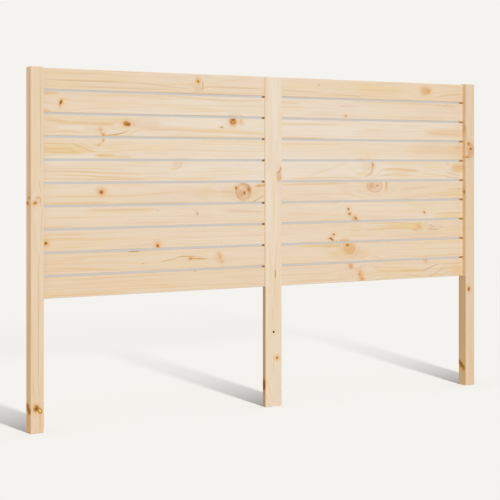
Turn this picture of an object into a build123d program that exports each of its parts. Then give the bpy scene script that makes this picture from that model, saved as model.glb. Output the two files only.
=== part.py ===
from build123d import *
import os

# Slatted pine headboard: two side posts, a flat middle post and full-width slats.
# Units are millimetres. X runs along the width, the front faces -Y, Z is up.
# The origin is on the floor, midway between the side posts and midway in their depth.

# Whole headboard
overall_width = 1555
floor_to_panel = 364
top_step = 2

# Side posts
side_post_width = 38
side_post_depth = 36
side_post_edge_radius = 2
side_post_end_radius = 2.5

# Middle post
middle_post_width = 58
middle_post_thickness = 17
middle_post_edge_radius = 2
middle_post_end_radius = 1.5

# Slats
slat_count = 10
slat_height = 58
slat_thickness = 13
slat_gap = 6
slat_edge_radius = 2

# Cross-halving of each slat and the middle post: the share of the slat that is notched away
slat_notch_share = 0.5
lap_clearance = 0.1

# Fixing hole of the middle post, with its height as a share of the free leg below the panel
fixing_hole_diameter = 6
fixing_hole_height_share = 0.621

# Rear batten that covers the crossings
rear_batten_thickness = 10
rear_batten_inset = 3
rear_batten_end_inset = 6
rear_batten_edge_radius = 1.5

# Dowels between slats and side posts, spaced by a share of the slat's height
dowel_diameter = 6
dowel_length = 30
dowel_chamfer = 0.8
dowel_clearance = 0.05
dowel_end_clearance = 1
dowel_spacing_share = 0.58

# Countersunk screws, one for each crossing, biting a share of the wood left in the post
screw_diameter = 4
screw_head_diameter = 8
screw_head_rim = 0.4
screw_tip_length = 2.5
screw_tip_diameter = 0.6
screw_recess = 0.3
screw_clearance = 0.05
screw_bite_share = 0.45
cross_slot_length = 4.4
cross_slot_width = 0.9
cross_slot_depth = 1.6

# Drills and cutters run this far past the faces they open
cut_overrun = 1

# Heights
slat_pitch = slat_height + slat_gap
panel_height = slat_count * slat_pitch - slat_gap
panel_top = floor_to_panel + panel_height
overall_height = panel_top + top_step

# Depths, set out from the plane of the posts' backs, where the rear batten ends flush
front_y = -side_post_depth / 2
back_y = side_post_depth / 2
lap_back_y = back_y - rear_batten_thickness
slat_front_y = lap_back_y - slat_thickness
slat_middle_y = lap_back_y - slat_thickness / 2
middle_post_front_y = lap_back_y - middle_post_thickness
slat_notch_depth = slat_thickness * slat_notch_share
housing_depth = slat_thickness - slat_notch_depth
lap_y = lap_back_y - housing_depth

# Widths
slat_length = overall_width - 2 * side_post_width
slat_end_x = slat_length / 2
post_centre_x = overall_width / 2 - side_post_width / 2

# Screw, from its sunk head to its tip in the post
screw_head_y = back_y - screw_recess
screw_bite = screw_bite_share * (middle_post_thickness - housing_depth)
screw_length = screw_head_y - lap_y + screw_bite
screw_head_cone = (screw_head_diameter - screw_diameter) / 2


def bar(x, y, z):
    """A square-edged bar between two corners, each given as a (low, high) pair."""
    size = Box(x[1] - x[0], y[1] - y[0], z[1] - z[0])
    return Pos((x[0] + x[1]) / 2, (y[0] + y[1]) / 2, (z[0] + z[1]) / 2) * size


def drill(radius, start, end):
    """A round cutter or peg between two points on one line along X or Y."""
    run = Vector(*end) - Vector(*start)
    return Plane(origin=start, z_dir=run) * Cylinder(
        radius, run.length, align=(Align.CENTER, Align.CENTER, Align.MIN)
    )


def ease(solid, axis, radius):
    """Round the edges that run along one axis."""
    return fillet(solid.edges().filter_by(axis), radius)


def ease_ends(solid, radius):
    """Round the rims of the two ends of an upright piece."""
    rims = solid.faces().filter_by(Axis.Z).edges()
    return fillet(rims, radius)


def slat_bottom(row):
    """Height of a slat's lower edge, counting rows from the top."""
    return panel_top - row * slat_pitch - slat_height


def dowel_heights(row):
    """Heights of the two dowels in each end of a slat."""
    middle = slat_bottom(row) + slat_height / 2
    half_spacing = slat_height * dowel_spacing_share / 2
    return (middle - half_spacing, middle + half_spacing)


def dowel_bores(side):
    """Blind bores across one end joint of the panel, open to slat and post alike."""
    radius = dowel_diameter / 2 + dowel_clearance
    reach = dowel_length / 2 + dowel_end_clearance
    joint_x = side * slat_end_x
    bores = []
    for row in range(slat_count):
        for height in dowel_heights(row):
            start = (joint_x - reach, slat_middle_y, height)
            end = (joint_x + reach, slat_middle_y, height)
            bores.append(drill(radius, start, end))
    return bores


def side_post(side):
    """A full-height square post, bored on its inner face for the slat dowels."""
    half = side_post_width / 2
    centre = side * post_centre_x
    post = bar((centre - half, centre + half), (front_y, back_y), (0, overall_height))
    post = ease(post, Axis.Z, side_post_edge_radius)
    post = ease_ends(post, side_post_end_radius)
    return post - dowel_bores(side)


def screw_hole(row, start_y, end_y):
    """Round passage for a screw's shank between two depths."""
    height = slat_bottom(row) + slat_height / 2
    radius = screw_diameter / 2 + screw_clearance
    return drill(radius, (0, start_y, height), (0, end_y, height))


def middle_post():
    """A flat post, housed from behind for every slat and drilled below the panel."""
    half = middle_post_width / 2
    post = bar((-half, half), (middle_post_front_y, lap_back_y), (0, panel_top))
    post = ease(post, Axis.Z, middle_post_edge_radius)
    post = ease_ends(post, middle_post_end_radius)
    across = (-half - cut_overrun, half + cut_overrun)
    for row in range(slat_count):
        low = slat_bottom(row) - lap_clearance
        high = slat_bottom(row) + slat_height + lap_clearance
        post -= bar(across, (lap_y, lap_back_y + cut_overrun), (low, high))
        post -= screw_hole(row, lap_y + cut_overrun, lap_y - screw_bite - screw_recess)
    hole_height = floor_to_panel * fixing_hole_height_share
    hole_start = (0, middle_post_front_y - cut_overrun, hole_height)
    hole_end = (0, lap_back_y + cut_overrun, hole_height)
    return post - drill(fixing_hole_diameter / 2, hole_start, hole_end)


def slat(row):
    """A full-width slat, notched in front for the middle post and bored at both ends."""
    low = slat_bottom(row)
    high = low + slat_height
    board = bar((-slat_end_x, slat_end_x), (slat_front_y, lap_back_y), (low, high))
    board = ease(board, Axis.X, slat_edge_radius)
    notch_half = middle_post_width / 2 + lap_clearance
    notch_y = (slat_front_y - cut_overrun, lap_y)
    board -= bar((-notch_half, notch_half), notch_y, (low - cut_overrun, high + cut_overrun))
    board -= screw_hole(row, lap_y - cut_overrun, lap_back_y + cut_overrun)
    for side in (-1, 1):
        reach = dowel_length / 2 + dowel_end_clearance
        for height in dowel_heights(row):
            start = (side * (slat_end_x + cut_overrun), slat_middle_y, height)
            end = (side * (slat_end_x - reach), slat_middle_y, height)
            board -= drill(dowel_diameter / 2 + dowel_clearance, start, end)
    return board


def screw_head(height, extra):
    """Countersunk head, or the seat for it when made larger all round by extra."""
    rim_radius = screw_head_diameter / 2 + extra
    shank_radius = screw_diameter / 2 + extra
    rim_y = screw_head_y - screw_head_rim
    cone = Plane(origin=(0, rim_y, height), z_dir=(0, -1, 0)) * Cone(
        rim_radius,
        shank_radius,
        screw_head_cone,
        align=(Align.CENTER, Align.CENTER, Align.MIN),
    )
    return cone + drill(rim_radius, (0, rim_y, height), (0, screw_head_y, height))


def rear_batten():
    """A flat batten behind the crossings, countersunk for one screw a slat."""
    half = middle_post_width / 2 - rear_batten_inset
    low = floor_to_panel + rear_batten_end_inset
    high = panel_top - rear_batten_end_inset
    batten = bar((-half, half), (lap_back_y, back_y), (low, high))
    back_rim = batten.faces().sort_by(Axis.Y)[-1].edges()
    batten = fillet(back_rim, rear_batten_edge_radius)
    rim_radius = screw_head_diameter / 2 + screw_clearance
    for row in range(slat_count):
        height = slat_bottom(row) + slat_height / 2
        mouth_end = (0, back_y + cut_overrun, height)
        batten -= drill(rim_radius, (0, screw_head_y, height), mouth_end)
        batten -= screw_head(height, screw_clearance)
        batten -= screw_hole(row, lap_back_y - cut_overrun, screw_head_y)
    return batten


def dowels(side):
    """The loose pegs of one end joint, two for each slat."""
    pegs = []
    joint_x = side * slat_end_x
    for row in range(slat_count):
        for height in dowel_heights(row):
            start = (joint_x - dowel_length / 2, slat_middle_y, height)
            end = (joint_x + dowel_length / 2, slat_middle_y, height)
            peg = drill(dowel_diameter / 2, start, end)
            pegs.append(chamfer(peg.edges().filter_by(GeomType.CIRCLE), dowel_chamfer))
    return Compound(children=pegs)


def batten_screws():
    """One cross-slotted countersunk screw for each crossing."""
    screws = []
    tip_y = screw_head_y - screw_length
    tip_start_y = tip_y + screw_tip_length
    for row in range(slat_count):
        height = slat_bottom(row) + slat_height / 2
        screw = screw_head(height, 0)
        screw += drill(screw_diameter / 2, (0, tip_start_y, height), (0, screw_head_y, height))
        screw += Plane(origin=(0, tip_start_y, height), z_dir=(0, -1, 0)) * Cone(
            screw_diameter / 2,
            screw_tip_diameter / 2,
            screw_tip_length,
            align=(Align.CENTER, Align.CENTER, Align.MIN),
        )
        slot_y = (screw_head_y - cross_slot_depth, screw_head_y + cut_overrun)
        long_half = cross_slot_length / 2
        wide_half = cross_slot_width / 2
        for x_half, z_half in ((long_half, wide_half), (wide_half, long_half)):
            screw -= bar((-x_half, x_half), slot_y, (height - z_half, height + z_half))
        screws.append(screw)
    return Compound(children=screws)


pieces = {
    "left_post": side_post(-1),
    "right_post": side_post(1),
    "middle_post": middle_post(),
    "rear_batten": rear_batten(),
    "left_dowels": dowels(-1),
    "right_dowels": dowels(1),
    "batten_screws": batten_screws(),
}
for row in range(slat_count):
    pieces[f"slat_{row + 1:02d}"] = slat(row)

os.makedirs("parts", exist_ok=True)
for name, piece in pieces.items():
    piece.label = name
    export_step(piece, f"parts/{name}.step")
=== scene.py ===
import math
import bpy
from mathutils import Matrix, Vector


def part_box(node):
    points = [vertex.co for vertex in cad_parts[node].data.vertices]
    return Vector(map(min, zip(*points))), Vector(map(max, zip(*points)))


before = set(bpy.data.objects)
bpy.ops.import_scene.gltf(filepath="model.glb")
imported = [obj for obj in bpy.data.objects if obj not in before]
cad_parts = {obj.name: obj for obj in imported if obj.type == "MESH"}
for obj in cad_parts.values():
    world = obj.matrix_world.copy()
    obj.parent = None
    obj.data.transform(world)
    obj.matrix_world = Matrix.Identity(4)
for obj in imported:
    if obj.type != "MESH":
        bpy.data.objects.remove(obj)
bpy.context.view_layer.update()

# Knotty pine headboard on a pale studio floor. Metres; the front faces -Y, Z is up.
# Only the marks on the wood are written in millimetres.

MM = 0.001

# Camera: level, with its verticals kept upright by a shift
CAMERA_PLACE = (-2.005, -3.300, 0.730)
CAMERA_BEARING = math.radians(30.284)
CAMERA_LENS = 91.585
CAMERA_SENSOR = 36.0
CAMERA_SHIFT = -0.1691

# Studio colours, in linear light
WHITE = (1.0, 1.0, 1.0)
BACKDROP = (0.905, 0.896, 0.863)
# The gap card's grey is painted shade: the gaps show it as the shaded space behind the slats
GAP_SHADE_GREY = (0.600, 0.580, 0.555)

# Light: an even glow from all sides, a soft front lamp, and a low lamp for the floor's shadows
GLOW = 0.74
FRONT_LAMP_SHARE = 0.25
FRONT_LAMP_TURN = math.radians(12)
FRONT_LAMP_HEIGHT = math.radians(40)
FRONT_LAMP_SPREAD = math.radians(30)
LOW_LAMP_PLACE = (-0.12, -5.6, 1.87)
LOW_LAMP_RADIUS = 0.25

# The legs' shadows: how dark and wide they are, and how they fade behind the legs
LOW_SHADOW_DEPTH = 0.62
SHADOW_WIDTH = 0.118
SHADOW_START = {"left_post": 0.052, "middle_post": 0.034, "right_post": 0.036}
SHADOW_FADE_LENGTH = 0.38
SHADOW_TAIL = 0.05
SHADOW_TAIL_END = (3.2, 1.5)
SHADOW_ROUND = 2.5
SHADOW_FRONT = (-0.15, -0.01)
FLOOR_SHARE = (1.0 - LOW_SHADOW_DEPTH) / GLOW
FLOOR_REACH = 14.0
GAP_CARD_INSET = 0.008
GAP_CARD_DEPTH = 0.001

# Pine colours, in linear light; the last three belong to knots alone
PALE = (0.831, 0.719, 0.590)
HONEY = (0.785, 0.560, 0.330)
TINTS = {
    "pale": (0.835, 0.735, 0.610),
    "straw": (0.800, 0.610, 0.320),
    "honey": (0.775, 0.535, 0.295),
    "pink": (0.760, 0.530, 0.400),
    "rose": (0.700, 0.420, 0.250),
    "grey": (0.610, 0.430, 0.275),
    "amber": (0.680, 0.380, 0.130),
    "orange": (0.640, 0.290, 0.050),
    "gold": (0.950, 0.640, 0.130),
    "brown": (0.380, 0.165, 0.020),
    "red": (0.400, 0.130, 0.012),
    "glow": (0.800, 0.470, 0.190),
    "rim": (0.540, 0.260, 0.090),
    "heart": (0.120, 0.035, 0.004),
}
SOFT_STREAKS = ("pale", "straw", "honey", "pink")
SHARP_STREAKS = ("grey", "amber", "brown")
KNOT_FILLS = ("amber", "pink", "pale", "rose", "orange", "brown", "gold", "red")
MARK_EDGE = 1.15
KNOT_GLOW_REACH = 0.014
KNOT_RAGGEDNESS = 0.004

# Tints of the left sides that paint their light and shade: beside the slats, in the gaps (a dark painted
# shade) and below the panel
PAINTED_SIDE_LIGHT_AND_SHADE = {
    "left_post": ((1.035, 0.91, 0.78), (1.035, 0.91, 0.78), (0.975, 0.84, 0.66)),
    "middle_post": ((1.16, 1.12, 0.99), (0.63, 0.44, 0.16), (0.725, 0.53, 0.32)),
    "right_post": ((1.115, 1.055, 0.86), (0.92, 0.70, 0.44), (0.94, 0.785, 0.575)),
    # The rear batten's sides take a dark painted shade, seen through the gaps
    "rear_batten": ((0.46, 0.29, 0.12),) * 3,
}

# Pine's figure: waves a metre along the grain, across it and into the board
RAGGED_WAVES = (75.0, 75.0, 75.0)
DRIFT_WAVES = (1.9, 1.0, 1.0)
WANDER_WAVES = (5.0, 16.0, 16.0)
TONE_WAVES = (1.6, 20.0, 20.0)
FIBRE_WAVES = (9.0, 800.0, 800.0)
FLECK_WAVES = (26.0, 330.0, 330.0)
PATCH_WAVES = (4.0, 30.0, 30.0)
CLOUD_WAVES = (5.0, 45.0, 45.0)
STRAW_CLOUDS = (0.50, 0.72, 0.35)
PINK_CLOUDS = (0.46, 0.28, 0.18)

# Growth rings: their drift, their uneven years, and the slow rise and quick fall of late wood
DRIFT_ACROSS = 0.022
DRIFT_DEEP = 0.012
WANDER_ACROSS = 0.010
WANDER_DEEP = 0.004
YEAR_WAVES = 0.31
YEAR_DRIFT = 2.2
WEAKEST_YEAR = 0.2
LATE_RISE = (0.15, 0.80)
LATE_FALL = (1.0, 0.90)

# Pine's surface: its shade, roughness, gloss and relief
BASE_SHADE = 0.970
FIBRE_SHADE = 0.06
FLECK_SHADE = 0.03
PINE_ROUGHNESS = 0.50
PINE_GLOSS = 0.05
PINE_RELIEF = 0.0003

# How far streaks wander, and the painted light that turns the slats' right ends warm and bright beside the
# right post
STREAK_WANDER = 0.003
PAINTED_WARM_REACH = 0.08
PAINTED_LIGHT_REACH = 0.018
PAINTED_END_LIGHT = 0.16

# Zinc and beech
ZINC_BRIGHT = (0.66, 0.60, 0.44)
ZINC_DULL = (0.60, 0.52, 0.33)
BEECH_DARK = (0.60, 0.40, 0.23)
BEECH_LIGHT = (0.68, 0.48, 0.30)
BEECH_FLECK = (0.36, 0.20, 0.10)

PANEL_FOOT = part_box("slat_10")[0].z
SLAT_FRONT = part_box("slat_01")[0].y
# From just behind the slats' front, the posts' left sides take the gaps' painted shade
GAP_SHADE_START = (SLAT_FRONT - 0.001, SLAT_FRONT + 0.003)


class Wire:
    """An output socket of a material. Sums and products on it add Math nodes."""

    def __init__(self, finish, socket):
        self.finish = finish
        self.socket = socket

    def __add__(self, other):
        return self.finish.math("ADD", self, other)

    __radd__ = __add__

    def __sub__(self, other):
        return self.finish.math("SUBTRACT", self, other)

    def __rsub__(self, other):
        return self.finish.math("SUBTRACT", other, self)

    def __mul__(self, other):
        return self.finish.math("MULTIPLY", self, other)

    __rmul__ = __mul__

    def __truediv__(self, other):
        return self.finish.math("DIVIDE", self, other)

    def __rtruediv__(self, other):
        return self.finish.math("DIVIDE", other, self)


class Finish:
    """A procedural material, sky or lamp, made node by node."""

    def __init__(self, owner):
        owner.use_nodes = True
        self.owner = owner
        self.tree = owner.node_tree
        self.tree.nodes.clear()

    def node(self, kind, settings=None, sockets=None, output=0):
        """Add a node: its settings first, then the values or wires of its sockets."""
        made = self.tree.nodes.new("ShaderNode" + kind)
        for key, value in (settings or {}).items():
            setattr(made, key, value)
        for key, value in (sockets or {}).items():
            if isinstance(value, Wire):
                self.tree.links.new(value.socket, made.inputs[key])
            else:
                made.inputs[key].default_value = value
        return Wire(self, made.outputs[output]) if made.outputs else None

    def math(self, operation, *values):
        return self.node("Math", {"operation": operation}, dict(enumerate(values)))

    def smooth(self, value, low, high, top=1.0):
        """Rise smoothly from 0 at low to top at high; low may be the larger."""
        settings = {"interpolation_type": "SMOOTHSTEP"}
        sockets = {"Value": value, "From Min": low, "From Max": high, "To Max": top}
        return self.node("MapRange", settings, sockets)

    def noise(self, vector, scale, seed, detail=2.0, output="Fac"):
        """Noise of a place, stretched by a scale for each axis and shifted by a seed."""
        shift = (seed * 7.31, seed * 3.17, seed * 5.53)
        moved = self.node("Mapping", {}, {"Vector": vector, "Location": shift, "Scale": scale})
        sockets = {"Vector": moved, "Scale": 1.0, "Detail": detail}
        return self.node("TexNoise", {}, sockets, output)

    def blend(self, factor, first, second, mode="MIX"):
        """Mix two colours."""
        settings = {"data_type": "RGBA", "blend_type": mode}
        first, second = (c if isinstance(c, Wire) else (*c, 1.0) for c in (first, second))
        return self.node("Mix", settings, {0: factor, 6: first, 7: second}, 2)

    def tinted(self, value, colour):
        """A colour made darker or brighter by a value."""
        grey = self.node("CombineColor", {}, {channel: value for channel in range(3)})
        return self.blend(1.0, grey, colour, "MULTIPLY")

    def vector(self, x, y, z=0.0):
        return self.node("CombineXYZ", {}, {0: x, 1: y, 2: z})

    def parts(self, vector):
        """The three wires of a vector."""
        outputs = self.node("SeparateXYZ", {}, {0: vector}).socket.node.outputs
        return [Wire(self, output) for output in outputs]

    def length(self, vector):
        return self.node("VectorMath", {"operation": "LENGTH"}, {0: vector}, 1)

    def dot(self, first, second):
        return self.node("VectorMath", {"operation": "DOT_PRODUCT"}, {0: first, 1: second}, 1)

    def bump(self, height, strength, distance):
        sockets = {"Strength": strength, "Distance": distance, "Height": height}
        return self.node("Bump", {}, sockets)

    def framed(self, face, mark, grow_long=1.0, grow_wide=1.0):
        """The frame of a mark on a face: its outline is there the unit circle."""
        sockets = {
            "Vector": face,
            "Location": (mark["x"], mark["z"], 0.0),
            "Rotation": (0.0, 0.0, mark["tilt"]),
            "Scale": (mark["long"] * grow_long, mark["wide"] * grow_wide, 1.0),
        }
        return self.node("Mapping", {"vector_type": "TEXTURE"}, sockets)

    def largest(self, values):
        """The largest of some wires, or 0 where there are none."""
        result = 0.0
        for value in values:
            result = self.math("MAXIMUM", value, result)
        return result

    def show(self, surface, kind="OutputMaterial"):
        self.node(kind, {}, {"Surface": surface})
        return self.owner

    def coat(self, colour, **sockets):
        """Show a surface of one colour, with other sockets by their names."""
        named = {key.replace("_", " "): value for key, value in sockets.items()}
        return self.show(self.node("BsdfPrincipled", {}, {"Base Color": colour, **named}))


def paint(name):
    return Finish(bpy.data.materials.new(name))


def give(piece, material):
    """Put one material on a piece, in place of what it had."""
    piece.data.materials.clear()
    piece.data.materials.append(material)


def mark(x, z, long, wide, tilt, **parts):
    """A mark on a board's face: its place along and off the middle line, and its half sizes."""
    return dict(x=x * MM, z=z * MM, long=long * MM, wide=wide * MM, tilt=tilt, **parts)


def knot(
    x, z, long, wide, fill, glow=0.0, tint="red", core=0.62, tilt=0.0, rim=0.0, edge=0.16, heart=0.0,
    side=None, bend=1.0,
):
    """A knot: how strong its fill, its glow on the wood around it, its rim and its dark heart are."""
    return mark(
        x, z, long, wide, tilt, fill=fill, glow=glow, tint=tint, core=core, rim=rim, edge=edge,
        heart=heart, side=side, bend=bend,
    )


def arc(x, z, long, wide, rim, side, edge=0.1):
    """A stretch of a knot's outline, on the side that it faces."""
    return knot(x, z, long, wide, 0, rim=rim, edge=edge, side=side, bend=0.5)


def streak(tint, x, z, long, wide, depth=0.5, slope=0.0, bow=0.0, rise=0.0):
    """A soft streak along the grain: its depth, and how far its two ends or its far end rise."""
    tilt = math.atan(slope)
    return mark(x, z, long, wide, tilt, tint=tint, depth=depth, bow=bow * MM, rise=rise * MM)


def board(
    seed, tone, pith=(0.09, 0.05), ring=0.0085, figure=0.2, shade=1.0, painted_end_warmth=0.12, painted_side_fade=0.001,
    front=(), left=(),
):
    """One board's cut: its tone at start, middle and end, its pith line and rings, and its marks."""
    return dict(
        seed=seed, tone=tone, pith=pith, ring=ring, figure=figure, shade=shade, painted_end_warmth=painted_end_warmth,
        painted_side_fade=painted_side_fade, marks=[("front", m) for m in front] + [("left", m) for m in left],
    )


class Pine(Finish):
    """Pine cut for one board, in the board's own directions: along, across and deep."""

    def __init__(self, piece, along_axis, cut):
        super().__init__(bpy.data.materials.new(piece + "_pine"))
        low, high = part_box(piece)
        centre = (low + high) / 2
        self.cut = cut
        self.painted_side_tints = PAINTED_SIDE_LIGHT_AND_SHADE.get(piece)
        self.is_slat = along_axis == 0
        self.start, self.middle, self.end = low[along_axis], centre[along_axis], high[along_axis]
        self.place = self.parts(self.node("TexCoord", output="Object"))
        self.along = self.place[along_axis]
        self.across = self.place[2 - along_axis] - centre[2 - along_axis]
        self.deep = self.place[1] - centre[1]
        self.grain = self.vector(self.along, self.across, self.deep)
        facing = self.parts(self.node("TexCoord", output="Normal"))[0]
        self.left = self.smooth(facing, -0.5, -0.95)
        self.wander = self.figure(WANDER_WAVES, 1) - 0.5
        self.fibre = self.figure(FIBRE_WAVES, 3, 3.0)
        self.fleck = self.figure(FLECK_WAVES, 4)

    def figure(self, waves, layer, detail=2.0):
        """One of the board's layers of noise, stretched along the grain."""
        return self.noise(self.grain, waves, self.cut["seed"] + layer, detail)

    def faces(self, wander=0.0):
        """The board's front and left side, with places along and off its middle line."""
        shift = self.wander * wander
        return {
            "front": self.vector(self.along, self.across + shift),
            "left": self.vector(self.along, self.deep + shift),
        }

    def marks(self, part):
        """The face and the settings of each mark that has a part."""
        return [(face, m) for face, m in self.cut["marks"] if part in m]

    def on_face(self, mask, face):
        return mask * self.left if face == "left" else mask

    def knot_rim(self, k, spot, reach):
        """Mask of a knot's rim, or of a stretch of it."""
        rim = self.smooth(reach, 1.0 - k["edge"] * 1.6, 1.0 - k["edge"] * 0.5)
        rim = rim * self.smooth(reach, 1.0 + k["edge"], 1.0, k["rim"])
        if k["side"]:
            rim = rim * self.smooth(self.dot(spot, (*k["side"], 0.0)), 0.1, 0.8)
        return rim

    def knot_parts(self, k, spot, ragged):
        """Masks of the parts that a knot has."""
        size = max(k["long"], k["wide"])
        reach = self.length(spot) * (ragged * min(0.5, KNOT_RAGGEDNESS / size) + 1.0)
        parts = {}
        if k["fill"]:
            parts[k["tint"]] = self.smooth(reach, MARK_EDGE, k["core"], k["fill"])
        if k["rim"]:
            parts["rim"] = self.knot_rim(k, spot, reach)
        if k["heart"]:
            parts["heart"] = self.smooth(reach, 0.62, 0.10, k["heart"])
        if k["glow"]:
            parts["glow"] = self.smooth(reach, 1.0 + KNOT_GLOW_REACH / size, 0.5, k["glow"])
        return parts

    def knots(self):
        """Masks of the knots' parts, and how far the knots push the grain aside on each face."""
        ragged = self.figure(RAGGED_WAVES, 0) - 0.5
        faces = self.faces()
        masks, push = {}, {face: 0.0 for face in faces}
        for face, k in self.marks("fill"):
            for part, mask in self.knot_parts(k, self.framed(faces[face], k), ragged).items():
                masks.setdefault(part, []).append(self.on_face(mask, face))
            flow = self.framed(faces[face], k, k["bend"] * (2.0 + k["wide"] / k["long"]), k["bend"])
            aside = self.dot(flow, (0.0, k["wide"] * k["bend"], 0.0))
            push[face] = aside / (self.dot(flow, flow) + 1.0) + push[face]
        return {part: self.largest(found) for part, found in masks.items()}, push

    def streaks(self):
        """Masks of the streaks by tint: a bow bends one into an arch, a rise into an S."""
        faces = self.faces(STREAK_WANDER)
        masks = {}
        for face, s in self.marks("depth"):
            u, v, _ = self.parts(self.framed(faces[face], s))
            rise, bow = s["rise"] / s["wide"], s["bow"] / s["wide"]
            if rise:
                v = v - self.smooth(u, -1.0, 1.0, rise) + rise / 2
            if bow:
                v = v - u * u * bow
            mask = self.smooth(self.length(self.vector(u * u, v)), MARK_EDGE, 0.30, s["depth"])
            masks.setdefault(s["tint"], []).append(self.on_face(mask, face))
        return {tint: self.largest(found) for tint, found in masks.items()}

    def late_wood(self, push):
        """Growth rings about the pith line: 1 on the darkest lines, 0 between them."""
        pith = self.cut["pith"]
        line = self.vector(self.along, 0.0)
        drift = self.parts(self.noise(line, DRIFT_WAVES, self.cut["seed"], 1.0, "Color"))
        across = self.across - push["front"] + self.wander * WANDER_ACROSS + (drift[0] - 0.5) * DRIFT_ACROSS
        deep = self.deep - push["left"] + self.wander * WANDER_DEEP + (drift[1] - 0.5) * DRIFT_DEEP
        rings = self.length(self.vector(across - pith[0], deep - pith[1])) / self.cut["ring"]
        one_way = {"noise_dimensions": "1D"}
        rings = rings + self.node("TexNoise", one_way, {"W": rings, "Scale": YEAR_WAVES}) * YEAR_DRIFT
        year = self.node("TexWhiteNoise", one_way, {"W": self.math("FLOOR", rings)})
        strength = year * (1.0 - WEAKEST_YEAR) + WEAKEST_YEAR
        phase = self.math("FRACT", rings)
        late = self.smooth(phase, *LATE_RISE) * self.smooth(phase, *LATE_FALL) * strength
        fine = self.math("PINGPONG", rings * 3.0, 0.5) * 2.0
        return late + self.smooth(fine, 0.3, 0.9) * 0.12

    def plain_wood(self):
        """The board's own tone along its length, with soft clouds of straw and pink, and on a slat a painted
        warm light at its right end.
        """
        first, second, third = self.cut["tone"]
        warmth = self.smooth(self.along, self.start, self.middle, second - first) + first
        warmth = self.smooth(self.along, self.middle, self.end, third - second) + warmth
        # Painted bounce light: a slat turns warmer towards its right end, beside the right post
        if self.is_slat:
            warmth = self.smooth(self.along, self.end - PAINTED_WARM_REACH, self.end, self.cut["painted_end_warmth"]) + warmth
        warmth = warmth + (self.figure(TONE_WAVES, 2) - 0.5) * 0.5
        cloud = self.figure(CLOUD_WAVES, 6)
        wood = self.blend(warmth, PALE, HONEY)
        wood = self.blend(self.smooth(cloud, *STRAW_CLOUDS), wood, TINTS["straw"])
        return self.blend(self.smooth(cloud, *PINK_CLOUDS), wood, TINTS["pink"])

    def overlay(self, wood, masks, tints, share=None):
        """Lay tints over the wood where they have masks."""
        for tint in tints:
            if tint in masks:
                mask = masks[tint] if share is None else masks[tint] * share
                wood = self.blend(mask, wood, TINTS[tint])
        return wood

    def marked_wood(self, late, knots):
        """The wood with its streaks, growth rings and knots."""
        streaks = self.streaks()
        wood = self.overlay(self.plain_wood(), streaks, SOFT_STREAKS)
        patch = self.smooth(self.figure(PATCH_WAVES, 5, 1.0), 0.30, 0.70) + 0.5
        drawn = late * patch * self.cut["figure"]
        wood = self.blend(drawn, wood, TINTS["honey"])
        wood = self.blend(drawn * 0.3, wood, TINTS["amber"])
        wood = self.overlay(wood, streaks, SHARP_STREAKS)
        wood = self.overlay(wood, knots, ["glow"], 0.7)
        wood = self.overlay(wood, knots, KNOT_FILLS, self.smooth(self.fleck, 0.25, 0.70) * 0.2 + 0.8)
        return self.overlay(wood, knots, ("rim", "heart"))

    def side_with_painted_light(self, wood):
        """A left side with painted light and shade: one tint beside the slats, a dark painted shade in the
        gaps and one tint below the panel.
        """
        beside, gap, below = self.painted_side_tints
        fade = self.cut["painted_side_fade"]
        in_gap = self.smooth(self.place[1], *GAP_SHADE_START)
        tint = self.blend(in_gap, beside, gap)
        tint = self.blend(self.smooth(self.place[2], PANEL_FOOT + fade, PANEL_FOOT - fade), tint, below)
        return self.blend(1.0, wood, tint, "MULTIPLY")

    def sawn(self):
        """The finished material of the board."""
        knots, push = self.knots()
        late = self.late_wood(push)
        shade = self.fibre * FIBRE_SHADE + self.fleck * FLECK_SHADE + BASE_SHADE
        shade = shade * self.cut["shade"]
        # Painted light: a slat turns brighter at its right end, against the shade beside the right post
        if self.is_slat:
            shade = self.smooth(self.along, self.end - PAINTED_LIGHT_REACH, self.end, PAINTED_END_LIGHT) + shade
        wood = self.tinted(shade, self.marked_wood(late, knots))
        # Painted light and shade on the left sides
        if self.painted_side_tints:
            wood = self.blend(self.left, wood, self.side_with_painted_light(wood))
        height = late * 0.35 + self.fibre * 0.6 - knots.get("red", 0.0) * 0.5
        rough = self.fleck * 0.16 + PINE_ROUGHNESS - late * 0.08
        normal = self.bump(height, 0.3, PINE_RELIEF)
        return self.coat(wood, Roughness=rough, Normal=normal, Specular_IOR_Level=PINE_GLOSS)


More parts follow.
